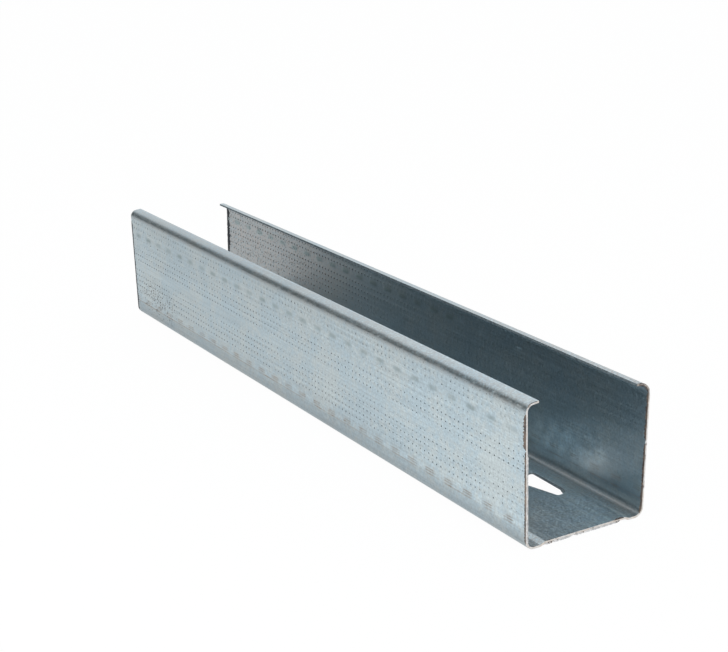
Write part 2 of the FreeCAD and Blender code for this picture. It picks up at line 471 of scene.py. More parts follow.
def add_point(place, pit=0.0, press=0.0, score=0.0):
    """Add a point with its three masks and hand back its number."""
    points.append(place)
    masks["pit"].append(pit)
    masks["press"].append(press)
    masks["score"].append(score)
    return len(points) - 1


def add_face(corners, inward, kind=ZINC):
    """Add a face. inward turns it round, for the hollow side of the sheet."""
    faces.append(corners[::-1] if inward else corners)
    face_kinds.append(kind)


def zip_lines(first, second, inward, kind=ZINC):
    """Fill the strip between two lines of (position, point) pairs that need not have the same number."""
    i = 0
    j = 0
    while i < len(first) - 1 or j < len(second) - 1:
        next_i = first[i + 1][0] if i < len(first) - 1 else math.inf
        next_j = second[j + 1][0] if j < len(second) - 1 else math.inf
        if abs(next_i - next_j) < 1e-4:
            add_face((first[i][1], first[i + 1][1], second[j + 1][1], second[j][1]), inward, kind)
            i += 1
            j += 1
        elif next_i < next_j:
            add_face((first[i][1], first[i + 1][1], second[j][1]), inward, kind)
            i += 1
        else:
            add_face((first[i][1], second[j + 1][1], second[j][1]), inward, kind)
            j += 1


print("ready to lay lines")

# %% [markdown]
# A line has an address across the strip and a fineness: how many points it has to each column of pins.
# The sheet is laid twice, once for its outer face and once for its hollow side, a sheet's thickness deeper.
# Marks press both, a little less on the hollow side.

# %% Lay one line along the stud
INNER_SHARE = 0.8
GLINTS_TO = 110
GLINT_SHARPNESS = 16
FAR_FINGERS = 2.4
LEFT_FAR_FINGERS = 0.6
WAVE_HEIGHT = 0.035
WAVE_RATE = 0.03


def lay_line(walked, fineness, inner, flange, row, bumps):
    """A line of points along the stud, as (column, point) pairs."""
    columns = np.linspace(0, COLUMNS, int(COLUMNS * fineness) + 1)
    along_columns = np.interp(columns, np.arange(COLUMNS + 1), column_edges(flange, row, walked))
    line = []
    for column, along in zip(columns, along_columns):
        finger, groove, crease, smear = pressed(flange, row, along) if bumps else (0, 0, 0, 0)
        depth = FINGER_DEPTH * finger + GROOVE_DEPTH * groove + CREASE_DEPTH * crease
        depth *= INNER_SHARE if inner else 1
        wave = WAVE_HEIGHT * drift(walked * WAVE_RATE, along * WAVE_RATE, 0)
        depth += (wave + WAVE_HEIGHT / 2) if bumps else 0
        # On the near part of the right flange's hollow side, finger marks become thin painted glints, as
        # press below zero.
        if inner and flange["side"] > 0:
            finger = -min(1.0, finger) ** GLINT_SHARPNESS if along < GLINTS_TO else FAR_FINGERS * finger
        elif flange["side"] < 0:
            finger *= 1 + LEFT_FAR_FINGERS * along / LENGTH
        place = sheet_point(walked, (SHEET if inner else 0) + depth, along)
        line.append((column, add_point(place, 0, finger, max(groove, crease, smear * SMEAR_SHARE))))
    return line


print("the far end's column has number", COLUMNS)

# %% [markdown]
# A cell is the patch of sheet round one pin. On the outer face its six edge points lead to a ring, then to
# a smaller and deeper ring, and a flat bottom. On the hollow side the metal bulges, so there a six-sided
# cone is enough. No two pins are alike: some are pressed hard and hold dirt, with painted shade darkest at
# the bottom of the pit, and some hardly show.

# %% Press one pin
PIN_RADIUS = 0.34
PIT_SHARE = 0.74
FAR_GROWTH = 0.22
PIN_DEPTH = 0.16
LEAST_DEPTH = 0.08
BULGE_RADIUS = 0.33
FAR_BULGE_RADIUS = 0.48
BULGE_HEIGHT = 0.10
SOFT_BULGE = 0.4
BULGE_DIRT = 0.3
FAR_BULGE_DIRT = 3.8
BULGES_FROM = 140
BULGES_FULL = 215
# Dirt and painted shade at the bottoms of the pits, dirt on the bulges.
PIT_DIRT_AND_SHADE = 0.85
FAR_PIT_DIRT_AND_SHADE = 0.7
HARD_STRENGTH = 0.66
TOP_STRENGTH = 0.95
LEAST_STRENGTH = 0.06
CHANCE = 0.22
SLOW_CHANGE = 0.4
HARD_ROWS = {-1: (-5, -4, -3, -2, 1, 2, 3), 1: (8, 7, 5, 4)}
SOFT_STRENGTH = {-1: 0.24, 1: 0.32}
random.seed(27)
ring_angles = [math.radians(angle) for angle in (210, 270, 330, 30, 90, 150)]


def pin_strength(row, along, side):
    """How hard a pin is pressed, from 0 to 1: chance, and a slow change along the stud."""
    usual = HARD_STRENGTH if row in HARD_ROWS[side] else SOFT_STRENGTH[side]
    if side > 0 and row > FINGER_ROW:
        usual = TOP_STRENGTH
    slow = drift(along * 0.03, row * 0.35, side * 5.0)
    return min(1.0, max(LEAST_STRENGTH, random.gauss(usual, CHANCE) + SLOW_CHANGE * slow))


def ring_at(centre_walked, centre_along, radius, depth, pit):
    """Six points round a pin's middle, in the order of the cell's edge points."""
    ring = []
    for angle in ring_angles:
        walked = centre_walked + radius * math.sin(angle)
        place = sheet_point(walked, depth, centre_along + radius * math.cos(angle))
        ring.append(add_point(place, pit))
    return ring


def join_rings(outer, inner, inward):
    """Six faces between two rings."""
    for i in range(6):
        k = (i + 1) % 6
        add_face((outer[i], outer[k], inner[k], inner[i]), inward)


def press_pin(edge, walked, along, strength, inner):
    """Fill a cell with a pit, or with a bulge on the hollow side."""
    if inner:
        far = ease(along, BULGES_FROM, BULGES_FULL)
        rim = ring_at(walked, along, BULGE_RADIUS + (FAR_BULGE_RADIUS - BULGE_RADIUS) * far, SHEET, 0)
        join_rings(edge, rim, True)
        dirt = BULGE_DIRT + (FAR_BULGE_DIRT - BULGE_DIRT) * far
        height = SHEET + BULGE_HEIGHT * (SOFT_BULGE + (1 - SOFT_BULGE) * strength)
        top = add_point(sheet_point(walked, height, along), dirt * strength)
        for i in range(6):
            add_face((rim[i], rim[(i + 1) % 6], top), True)
        return
    radius = PIN_RADIUS * (1 + FAR_GROWTH * along / LENGTH)
    rim = ring_at(walked, along, radius, 0, 0)
    join_rings(edge, rim, False)
    depth = LEAST_DEPTH + PIN_DEPTH * strength
    dirt = strength * (PIT_DIRT_AND_SHADE + FAR_PIT_DIRT_AND_SHADE * along / LENGTH)
    floor_ring = ring_at(walked, along, radius * PIT_SHARE, depth, dirt)
    join_rings(rim, floor_ring, False)
    add_face(tuple(floor_ring), False)


print("pin pits are", 2 * PIN_RADIUS, "mm across and up to", PIN_DEPTH, "mm deep")

# %% [markdown]
# A row of pins fills the strip between two lines that have two points to a column.

# %% Press a row of pins
def press_row(first, second, flange, row, inner):
    """Fill the strip between two lines with one cell to a pin."""
    walked = flange["walk_middle"] + flange["side"] * row * flange["row_pitch"]
    lean = flange["slant"] * row * flange["row_pitch"]
    for column, strength in enumerate(flange["strengths"][row]):
        top = [point for _, point in first[2 * column:2 * column + 3]]
        bottom = [point for _, point in second[2 * column:2 * column + 3]]
        along = flange["first_pin"] + PIN_PITCH * column + lean
        press_pin(top + bottom[::-1], walked, along, strength, inner)


for name, flange in flanges.items():
    side = flange["side"]
    flange["walk_middle"] = walked_at(side, flange["middle"])
    alongs = flange["first_pin"] + PIN_PITCH * np.arange(COLUMNS)
    flange["strengths"] = {row: [pin_strength(row, along, side) for along in alongs] for row in PIN_ROWS}
    print(name, "flange: smooth line at", round(flange["walk_middle"], 2), "mm walked")

# %% [markdown]
# Now the lines of one flange are listed in the order that one meets them, walking down from the lip. Each
# entry says how the strip up to the next line is filled: with pins or plainly.

# %% List the lines of a flange
FINGER_LINES = (0.42, 0.26, 0.08, -0.12, -0.30, -0.46)
PLAIN = "plain"
PINS = "pins"


def flange_lines(flange):
    """Rows, fineness and filling of the flange's lines, from the top row down."""
    lines = []
    for row in range(8, GROOVE_ROW - 1, -1):
        lines.append((row + 0.5, 2, PINS if row in PIN_ROWS else PLAIN))
        if row == FINGER_ROW:
            lines += [(row + step, 4, PLAIN) for step in FINGER_LINES]
    for offset in flange["grooves"]:
        for step in (GROOVE_HALF_WIDTH, 0, -GROOVE_HALF_WIDTH):
            lines.append((GROOVE_BASE + (offset + step) / flange["row_pitch"], 2, PLAIN))
    return lines


print("each flange has", len(flange_lines(flanges["left"])), "lines")

# %% [markdown]
# The lips, the bends and the foot strips are plain. They are laid more coarsely, with nine or ten lines to
# a round bend and four to a bend of the panel. Their lines belong to the flange that is on their side of
# the web, so that the columns still meet.

# %% List the lines of a whole half of the section
COARSE = 0.5
EDGE_LINE = 0.3
LEAST_GAP = 0.15
FLAT_LINES = 4
BEND_LINES = 9
RIGHT_LIP_LINES = 10


def spread(low, high, count):
    """Evenly spaced distances, both ends included."""
    return list(np.linspace(low, high, count))


def half_lines(name):
    """Every line of one half: distance walked, fineness, row on the flange, filling, marks or not."""
    flange = flanges[name]
    side = flange["side"]
    start = bend_starts
    end = bend_ends
    if side < 0:
        lip = [0.0] + spread(EDGE_LINE, start[1], FLAT_LINES)
        lip += spread(start[1], end[1], BEND_LINES)[1:]
        foot = spread(start[2], end[2], BEND_LINES)
        foot += spread(start[3], end[3], FLAT_LINES) + spread(start[4], end[4], FLAT_LINES)
    else:
        lip = [walk_s[-1]] + spread(walk_s[-1] - EDGE_LINE, end[8], FLAT_LINES)
        lip += spread(end[8], start[8], RIGHT_LIP_LINES)[1:]
        foot = spread(end[7], start[7], BEND_LINES)
        foot += spread(end[6], start[6], FLAT_LINES) + spread(end[5], start[5], FLAT_LINES)
    middle_rows = []
    for row, fineness, filling in flange_lines(flange):
        walked = flange["walk_middle"] + side * row * flange["row_pitch"]
        middle_rows.append((walked, fineness, row, filling, True))
    top = middle_rows[0][0]
    bottom = middle_rows[-1][0]
    lip = [walked for walked in lip if (walked - top) * side > LEAST_GAP]
    foot = [walked for walked in foot if (bottom - walked) * side > LEAST_GAP]
    lines = [(walked, COARSE, 8.5, PLAIN, False) for walked in lip]
    lines += middle_rows
    lines += [(walked, COARSE, CREASE_ROW, PLAIN, False) for walked in foot]
    return lines


for name in flanges:
    print(name, "half has", len(half_lines(name)), "lines")

# %% [markdown]
# Laying a half means laying its lines and filling the strips between them, on the outer face and then on
# the hollow side.

# %% Lay both halves on both faces
def lay_half(name, inner):
    """Lay every line of one half and fill between them. Hands back (distance walked, line) pairs."""
    flange = flanges[name]
    right = flange["side"] > 0
    laid = []
    fillings = []
    for walked, fineness, row, filling, bumps in half_lines(name):
        laid.append((walked, lay_line(walked, fineness, inner, flange, row, bumps)))
        fillings.append((filling, row))
    for (filling, row), (_, first), (_, second) in zip(fillings, laid, laid[1:]):
        if filling == PLAIN:
            zip_lines(first, second, inner != right)
        elif right:
            press_row(second, first, flange, int(row - 0.5), inner)
        else:
            press_row(first, second, flange, int(row - 0.5), inner)
    return laid


laid = {}
for name in flanges:
    for inner in (False, True):
        laid[name, inner] = lay_half(name, inner)
print(len(points), "points after the flanges, lips and bends")

# %% [markdown]
# ## The punched web
#
# Between its bends the web is one flat panel, in which a punch cut a U-shaped hole round a tapered tongue,
# so that cables can pass through the stud. Four corners with their radii describe its right half, and the
# left half is their mirror image.

# %% Outline of the service hole
HOLE_FROM_END = 25.8
HOLE_LENGTH = 20.65
LOBE_WIDTH = 5.1
LOBE_CORNER = 4.2
FAR_CORNER = 1.0
TONGUE_LENGTH = 18.2
TONGUE_ROOT = 9.15
TONGUE_TIP = 4.0
ROOT_ROUND = 0.7
TIP_ROUND = 1.0
HOLE_STEPS = 8
DRAG = 0.10
PUNCH_BURR = 0.28
SNAG_SIZE = 0.75
SNAG_REACH = 3.2
PANEL_END_POINTS = 24

hole_side = TONGUE_ROOT + LOBE_WIDTH
hole_near = HOLE_FROM_END
hole_far = HOLE_FROM_END + HOLE_LENGTH
snag_place = Vector((hole_side - 0.3, hole_near + 2.6))
right_outline = [
    (TONGUE_TIP, hole_near + TONGUE_LENGTH, TIP_ROUND),
    (TONGUE_ROOT, hole_near, ROOT_ROUND),
    (hole_side, hole_near, LOBE_CORNER),
    (hole_side, hole_far, FAR_CORNER),
]
left_outline = [(-across, along, radius) for across, along, radius in right_outline[::-1]]
hole_outline, _ = round_corners(right_outline + left_outline, HOLE_STEPS, closed=True)
print("hole outline has", len(hole_outline), "points")

# %% [markdown]
# A boolean could cut the hole, but would disturb the mesh round it. A constrained triangulation fills the
# panel round the outline instead. The punch drags the upper edge of the hole down a little, so the upper
# outline is wider than the lower one, and a snag of torn metal is left at one corner.

# %% Fill the panel round the hole
def panel_point(across, along, height):
    """A point of the flat panel."""
    return add_point((across, NEAR_END + along, height))


def hole_ring(height, growth, snag=0.0):
    """The hole's outline at a height, grown outwards by a small amount, with a snag at one corner."""
    ring = []
    for spot, heading in hole_outline:
        outward = Vector((math.sin(heading), -math.cos(heading)))
        place = spot + outward * (growth - snag * bell((spot - snag_place).length, SNAG_REACH))
        ring.append((place, panel_point(place.x, place.y, height)))
    return ring


def inside_ring(spot, ring):
    """Whether a spot lies inside the outline, by counting crossings."""
    crossings = 0
    for (first, _), (second, _) in zip(ring, ring[1:] + ring[:1]):
        if (first.y > spot.y) != (second.y > spot.y):
            where = first.x + (spot.y - first.y) / (second.y - first.y) * (second.x - first.x)
            crossings += spot.x < where
    return crossings % 2 == 1


def fill_panel(inner, ring):
    """Triangulate the panel between the two brow bends round a ring. Hands back its two end rows."""
    height = PANEL_RISE + (SHEET if inner else 0)
    left_spots, right_spots = [
        [(Vector((points[k][0], points[k][1] - NEAR_END)), k) for _, k in laid[name, inner][-1][1]]
        for name in flanges
    ]
    edges_across = np.linspace(left_spots[0][0].x, right_spots[0][0].x, PANEL_END_POINTS + 2)[1:-1]
    ends = []
    for along in (END_INSET, LENGTH - END_INSET):
        ends.append([(Vector((x, along)), panel_point(x, along, height)) for x in edges_across])
    loop = ends[0] + right_spots + ends[1][::-1] + left_spots[::-1]
    spots = loop + ring
    edges = [(i, (i + 1) % len(loop)) for i in range(len(loop))]
    edges += [(len(loop) + i, len(loop) + (i + 1) % len(ring)) for i in range(len(ring))]
    filled = delaunay_2d_cdt([spot for spot, _ in spots], edges, [], 1, 1e-5)
    new_spots, _, triangles, origins = filled[:4]
    numbers = [spots[origin[0]][1] for origin in origins]
    kept = 0
    for triangle in triangles:
        middle = sum((new_spots[k] for k in triangle), Vector((0, 0))) / 3
        if inside_ring(middle, ring):
            continue
        a, b, c = [new_spots[k] for k in triangle]
        anticlockwise = (b - a).cross(c - a) > 0
        corners = tuple(numbers[k] for k in triangle)
        add_face(corners if anticlockwise else corners[::-1], not inner)
        kept += 1
    print("panel", "top" if inner else "underside", "has", kept, "triangles")
    return ends


top_ring = hole_ring(PANEL_RISE + SHEET, DRAG)
shoulder_ring = hole_ring(PANEL_RISE + SHEET - DRAG, DRAG * 0.25)
under_ring = hole_ring(PANEL_RISE, -PUNCH_BURR, SNAG_SIZE)
panel_ends = {False: fill_panel(False, under_ring), True: fill_panel(True, top_ring)}
for upper, lower, kind in ((top_ring, shoulder_ring, ZINC), (shoulder_ring, under_ring, PUNCHED)):
    for i in range(len(upper)):
        k = (i + 1) % len(upper)
        add_face((upper[k][1], upper[i][1], lower[i][1], lower[k][1]), False, kind)

# %% [markdown]
# ## The sawn ends
#
# The saw leaves a bare bright face at each end, a little uneven. The face is filled between the last
# points of the outer face and those of the hollow side, over one middle row that is pushed in and out.
# The edges of the lips were slit before the rolls. The left one is covered with zinc, the right one is dark.

# %% Close the ends and the two slit edges
SAW_UNEVEN = 0.10
SAW_RATE = 0.9
SAW_RIPPLE = 0.8
SAW_SINK = 0.3
SLIT_EDGE_KIND = {"left": ZINC, "right": PUNCHED}


def end_row(inner, far):
    """Every point at one end of one face, in walking order, as (distance walked, point) pairs."""
    pick = -1 if far else 0
    row = [(walked, line[pick][1]) for walked, line in laid["left", inner]]
    panel = panel_ends[inner][1 if far else 0]
    low = bend_ends[4]
    high = bend_starts[5]
    span = panel[-1][0].x - panel[0][0].x
    inner_margin = (high - low - span) / 2
    row += [(low + inner_margin + spot.x - panel[0][0].x, number) for spot, number in panel]
    row += [(walked, line[pick][1]) for walked, line in laid["right", inner][::-1]]
    return row


def close_end(far):
    """Fill one sawn end."""
    outer = end_row(False, far)
    inner = end_row(True, far)
    middle = []
    for walked in np.linspace(0, walk_s[-1], int(walk_s[-1] / SAW_RATE)):
        uneven = SAW_UNEVEN * (drift(walked * SAW_RIPPLE, 5 if far else 1, 0) - SAW_SINK)
        along = LENGTH - END_INSET - cut_back(walked) + uneven if far else END_INSET - uneven
        middle.append((walked, add_point(sheet_point(walked, SHEET / 2, along))))
    zip_lines(outer, middle, not far, CUT)
    zip_lines(middle, inner, not far, CUT)
    return middle


end_middles = [close_end(False), close_end(True)]
for name in flanges:
    outer_edge = laid[name, False][0][1]
    inner_edge = laid[name, True][0][1]
    zip_lines(outer_edge, inner_edge, name == "left", SLIT_EDGE_KIND[name])
    for pick, middle in ((0, end_middles[0]), (-1, end_middles[1])):
        tip = middle[0 if name == "left" else -1][1]
        corner = (outer_edge[pick][1], inner_edge[pick][1], tip)
        turned = (pick == 0) != (name == "left")
        add_face(corner, turned, CUT)
print(len(points), "points,", len(faces), "faces")

# %% [markdown]
# The mesh already keeps three masks on its points, which tell the material where a pin, a finger mark or a
# groove is. Four more say how light the zinc is painted, how dusty, where bluish painted shade lies inside
# the channel, and where grains of soil lie. The tone mask is painted light and shade: it makes faces and
# places lighter or darker as the studio's light falls on them, with painted highlights and glints. They
# could be painted by hand. Here each is a small sum of soft steps and bells, whose limits are places in
# millimetres: across the web, along the stud from its near end, or up. Each step has a name, and the number
# before it says how much it lightens or darkens the zinc.

# %% Painted light and shade of the web and of the hollow side
FLANGE_FROM = 4.0
# Painted light and shade: the web is lit lighter, the hollow side and the feet are shaded darker.
WEB_LIGHT = 1.06
INSIDE_SHADE = 0.81
FOOT_SHADE = 0.65


def painted_foot_shade(along):
    """Painted shade on the bends at the feet of the flanges, as a factor of lightness."""
    return FOOT_SHADE - 0.06 * ease(along, 20, 150)


def painted_web_light(across, along):
    """Painted light and shade on the web, with a painted highlight on its left strip."""
    # Painted light and shade, one term to a line: a lit right half, shaded strip and bend on the right.
    lit_right_half = 0.48 * ease(across, -8, 9) * (1 - 0.6 * ease(along, 4, 30))
    shaded_right_strip = -0.42 * ease(across, 18.2, 19.5) * (1 - 0.7 * ease(along, 6, 26))
    shaded_right_bend = -0.52 * ease(across, 20.8, 21.8)
    lit_left_strip = 0.20 * ease(-across, 16, 17)
    shaded_beside_left_strip = -0.16 * ease(-across, 11, 15)
    return WEB_LIGHT * (1 + lit_right_half + shaded_right_strip + shaded_right_bend + lit_left_strip + shaded_beside_left_strip)


def painted_inside_shade(across, along, up):
    """Painted shade on the hollow side of a flange, with a painted glow of reflected light near the near
    end.
    """
    # Painted shade: darker farther in, at the foot and under the lip.
    light_falloff = -0.08 * ease(along, 5, 60)
    foot = -0.42 * ease(-up, -9, -5)
    shade_under_lip = -0.10 * ease(up, 41, 45)
    if across > 0:
        shade_under_lip -= 0.14 * ease(up, 42, 45) * (1 - ease(along, 100, 180))
    # A painted glow of reflected light, strongest about 38 mm in, and a painted shade patch low near the
    # end.
    uneven = 1 + 0.9 * drift(along * 0.22, up * 0.3, 2)
    cloudy = 0.1 + 0.46 * bell(along - 38, 26, 3)
    reflected_glow = uneven * cloudy * bell(up - 21 + 0.2 * along, 13)
    lit_middle = 0.11 * bell(up - 28, 10) * (1 - ease(along, 40, 110))
    shaded_patch = -0.28 * bell(along - 15, 20) * bell(up - 9, 6.5)
    return INSIDE_SHADE + light_falloff + foot + shade_under_lip + reflected_glow + lit_middle + shaded_patch


print("tone of the web's middle:", round(painted_web_light(0, LENGTH / 2), 3))

# %% [markdown]
# Outside, the flanges are nearly even. Painted light fades a little along the stud and is highest at half
# height, painted shade darkens the feet, the left lip's bend and the lips' undersides, the lips' edges get a
# painted highlight, and dust lies on the lips.

# %% Painted light and shade of the outer faces and the lips, and dust on the lips
LIP_FROM = 46.8
LEFT_BEND_UP = 47.75
# Painted shade band at the left lip's bend, painted highlight on the lips' edges, painted shade under them.
LIP_BEND_SHADE = 0.73
EDGE_HIGHLIGHT = 0.35
LEFT_LIP_DUST = 0.6075
RIGHT_LIP_DUST = 0.63
NEAR_LIP_DUST = 0.45
UNDER_LIP_SHADE = 0.35
TIPS = (section_corners[0][0], section_corners[-1][0])


def painted_outside_light(across, along, up, normal):
    """Painted light and shade on the outer face of a flange and its lip, and how dusty the lip is."""
    foot = painted_foot_shade(along)
    # Painted light: lightest at half height, shaded at the foot, fading along the stud.
    middle = 0.96 + 0.06 * bell(up - 24, 22)
    foot_shade_blend = foot + (1 - foot) * ease(up, 5.8, 7.2)
    light_falloff = 1.08 - 0.23 * ease(along, -20, 190) + 0.05 * ease(along, 265, 292)
    if across < 0:
        # Painted shade band along the left lip's bend, and painted light on the lips' tops.
        bend = 1 - (1 - LIP_BEND_SHADE) * bell(up - LEFT_BEND_UP, 1.15, 3)
        lip = bend * (1 + 0.04 * ease(up, 48.6, 49.6))
        dust = LEFT_LIP_DUST * ease(up, 45.5, 49)
        under_shade = UNDER_LIP_SHADE
    else:
        near_share = 1 - ease(along, 50, 130)
        lip = 1 + (0.1 - 0.08 * near_share) * ease(up, 44, 46.5)
        dust = (RIGHT_LIP_DUST + NEAR_LIP_DUST * near_share) * ease(up, 44, 46.5)
        under_shade = UNDER_LIP_SHADE + 0.3 * near_share
    if up > LIP_FROM:
        # Painted highlight along the lips' edges.
        lip *= 1 + EDGE_HIGHLIGHT * bell(min(abs(across - tip) for tip in TIPS), 1.4, 1)
    # Painted shade under the lips, deeper on the right lip near the near end.
    shade_under_lip = 1 - under_shade * ease(-normal.z, 0, 0.6) * ease(up, 40, 44)
    return middle * foot_shade_blend * light_falloff * lip * shade_under_lip, dust * ease(normal.z, -0.4, 0)


print("tone of the left flange's middle:", round(painted_outside_light(-25, 0, 25, Vector((-1, 0, 0)))[0], 3))

# %% [markdown]
# The place and the normal of a point say which face it belongs to. In a bend the normal turns slowly, so
# the painted light of the outer face passes softly into the painted shade of the hollow side. Soil lies low
# at the far left, in the left lip's bend and inside the far right. On the near sawn end the same mask says
# that the right lip is rusty.

# %% Painted light and shade, dust and soil anywhere on the sheet
DUST_FROM = 150.0
DUST_FULL = 228.0
SAWN_END = 0.5


def painted_light_and_dust(place, normal):
    """Painted light and shade of the zinc, as a factor, and how dusty, at a place in millimetres with its
    normal.
    """
    across, along, up = place
    along -= NEAR_END
    if up < FLANGE_FROM:
        # Upward faces take the web's painted light, the sides of the bends the painted foot shade.
        upward = ease(normal.z, -0.2, 0.6)
        # On the web this mask is partly dust and partly a painted warm tint of the strips' highlights.
        web_dust_and_tint = 0.2 + 0.65 * ease(-across, 16, 17) + 0.35 * ease(across, 15.5, 21)
        foot = painted_foot_shade(along)
        return foot + (painted_web_light(across, along) - foot) * upward, web_dust_and_tint * upward
    # Inward faces take the painted shade of the hollow side, outward ones the painted light of the outer
    # face.
    inward = ease(-normal.x * math.copysign(1, across), 0.2, 0.8)
    outside, lip_dust = painted_outside_light(across, along, up, normal)
    tone = outside + (painted_inside_shade(across, along, up) - outside) * inward
    inside_dust = ease(along, DUST_FROM, DUST_FULL) * (1 - 0.2 * ease(up, 38, 44))
    return tone, inside_dust * inward + lip_dust * (1 - inward)


def hollow_shade_at(place, normal):
    """1 inside the channel, where bluish painted shade lies, and 0 outside it."""
    return ease(-normal.x * math.copysign(1, place[0]), 0.1, 0.7) if place[2] > FLANGE_FROM else 0.0


def soil_at(place, normal):
    """How thick grains of soil lie, and on the near sawn end, how rusty it is."""
    across, along, up = place
    along -= NEAR_END
    if across < 0:
        low_patch = 1.5 * bell(along - 276, 24) * bell(up - 12, 10)
        scattered = 0.25 * ease(along, 150, 290)
        lip_bend = 0.5 * bell(up - 47.4, 1.8) * (1 - 0.6 * ease(along, 60, 200))
        return (low_patch + scattered + lip_bend) * ease(-normal.x, 0, 0.5)
    if along < SAWN_END:
        return ease(up, 42, 44)
    return 0.45 * ease(along, 170, 250) * ease(-normal.x, 0, 0.5)


print("soil low at the far left:", round(soil_at((-25, NEAR_END + 276, 12), Vector((-1, 0, 0))), 3))

# %% [markdown]
# The lists become one mesh, with all seven masks on its points. The shading is smooth except where two
# faces meet sharply, which keeps the pits crisp and the bends round.

# %% Make the mesh
SHARP_ANGLE = math.radians(24)
GLINT = 1.6


def make_mesh(name, places, mesh_faces, kinds=None):
    """A mesh object in metres from places in millimetres."""
    mesh = bpy.data.meshes.new(name)
    mesh.from_pydata([(x / 1000, y / 1000, z / 1000) for x, y, z in places], [], mesh_faces)
    if kinds:
        mesh.polygons.foreach_set("material_index", kinds)
    mesh.shade_smooth()
    mesh.set_sharp_from_angle(angle=SHARP_ANGLE)
    mesh.validate()
    made = bpy.data.objects.new(name, mesh)
    bpy.context.scene.collection.objects.link(made)
    return made


stud = make_mesh("stud_sheet", points, faces, face_kinds)
normals = [vertex.normal for vertex in stud.data.vertices]
# The tone mask is painted light and shade, and it lifts to painted glints where press is below zero.
painted_lights_and_dusts = [painted_light_and_dust(place, normal) for place, normal in zip(points, normals)]
masks["tone"] = [tone * (1 - GLINT * min(0, press)) for (tone, _), press in zip(painted_lights_and_dusts, masks["press"])]
masks["dust"] = [dust for _, dust in painted_lights_and_dusts]
masks["hollow_shade"] = [hollow_shade_at(place, normal) for place, normal in zip(points, normals)]
masks["soil"] = [soil_at(place, normal) for place, normal in zip(points, normals)]
for name, values in masks.items():
    attribute = stud.data.attributes.new(name, "FLOAT", "POINT")
    attribute.data.foreach_set("value", values)
triangle_count = sum(len(polygon.vertices) - 2 for polygon in stud.data.polygons)
print("stud_sheet has", triangle_count, "triangles")

# %% [markdown]
# ## The burrs
#
# A saw does not leave a clean corner. At the near end a ragged brown burr of smeared metal and rust hangs
# along the edge, and a bright curl of metal under the web. At the far end the burr is burnt dark. Noise on
# the corner of the sheet would tear its mesh, so each burr is a thin strip of its own that follows the
# edge and sits in the sheet. Its teeth are placed by chance, from one seed, so every run is the same.

# %% Grow a burr along an edge
OUTER = False
HOLLOW = True
BURR_STEP = 0.28
BURR_SUNK = 0.12
BURR_PROUD = 0.01
BURR_FADE = 4
LEAST_WIDTH = 0.05
LEAST_TOOTH = 0.45
TOOTH_BASE = 0.05
TIP_SPREAD = 0.9


def grow_burr(places, mesh_faces, far, inner, low, high, width, height):
    """A ragged strip along the corner of the sheet between two distances walked."""
    count = int((high - low) / BURR_STEP)
    surface = SHEET if inner else 0
    outward = 1 if inner else -1
    rings = []
    for i in range(count + 1):
        walked = low + (high - low) * i / count
        fade = min(1.0, i / BURR_FADE, (count - i) / BURR_FADE)
        ragged = random.uniform(LEAST_TOOTH, 1.0) * fade + TOOTH_BASE
        reach = END_INSET + LEAST_WIDTH + width * ragged
        tip = END_INSET * random.uniform(0.0, TIP_SPREAD)
        profile = (
            (tip, surface + outward * height * ragged),
            (reach, surface + outward * BURR_PROUD),
            (reach, surface - outward * BURR_SUNK),
            (tip, surface - outward * BURR_SUNK),
        )
        ring = []
        for along, depth in profile:
            places.append(sheet_point(walked, depth, LENGTH - along if far else along))
            ring.append(len(places) - 1)
        rings.append(ring)
    burr_faces = []
    for first, second in zip(rings, rings[1:]):
        for a in range(4):
            b = (a + 1) % 4
            burr_faces.append((first[a], first[b], second[b], second[a]))
    burr_faces += [rings[0][::-1], rings[-1]]
    turned = far != inner
    mesh_faces += [tuple(corners if turned else corners[::-1]) for corners in burr_faces]


def burr_piece(name, far, stretches):
    """One piece of burr from stretches: face, from and to where along the edge, width and height."""
    places = []
    mesh_faces = []
    for stretch in stretches:
        grow_burr(places, mesh_faces, far, *stretch)
    print(name, "has", len(mesh_faces), "faces")
    return make_mesh(name, places, mesh_faces)


print("burr step", BURR_STEP, "mm")

# %% [markdown]
# A stretch of burr lies on the outer face or in the hollow. Places on the flanges are given by their
# height, places under the web by their distance from its middle.

# %% Burrs of both ends
LEFT_BOTTOM = bend_starts[2]
RIGHT_BOTTOM = bend_ends[7]
LIP_END = walk_s[-1] - 0.4
RUSTY_BITS = ((-14.5, -11.8), (-10.8, -9.6), (-0.5, 0.6), (13.4, 15.6))

left_burrs = [
    (OUTER, walked_at(-1, 46.6), walked_at(-1, 34.6), 1.45, 0.02),
    (OUTER, 0.6, bend_starts[1] + 2.0, 0.26, 0.01),
    (OUTER, walked_at(1, 46.8), LIP_END, 0.45, 0.01),
    (OUTER, walked_at(-1, 34.2), LEFT_BOTTOM + 1, 0.6, 0.04),
]
web_burrs = [(OUTER, MIDDLE_OF_WEB + low, MIDDLE_OF_WEB + high, 0.3, 0.62) for low, high in RUSTY_BITS]
right_burrs = [
    (HOLLOW, MIDDLE_OF_WEB + 13.5, MIDDLE_OF_WEB + 17.5, 0.8, 0.12),
    (HOLLOW, RIGHT_BOTTOM - 3, walked_at(1, 26), 0.95, 0.2),
    (HOLLOW, walked_at(1, 27), LIP_END, 0.95, 0.2),
]
near_burr = burr_piece("near_end_burr", False, left_burrs + web_burrs + right_burrs)
near_curl = burr_piece("near_end_curl", False, [
    (HOLLOW, walked_at(-1, 33), LEFT_BOTTOM + 2, 0.5, 0.36),
    (OUTER, MIDDLE_OF_WEB - 16, MIDDLE_OF_WEB - 4, 0.6, 0.60),
    (OUTER, MIDDLE_OF_WEB - 3.6, MIDDLE_OF_WEB + 15.8, 0.6, 0.55),
])
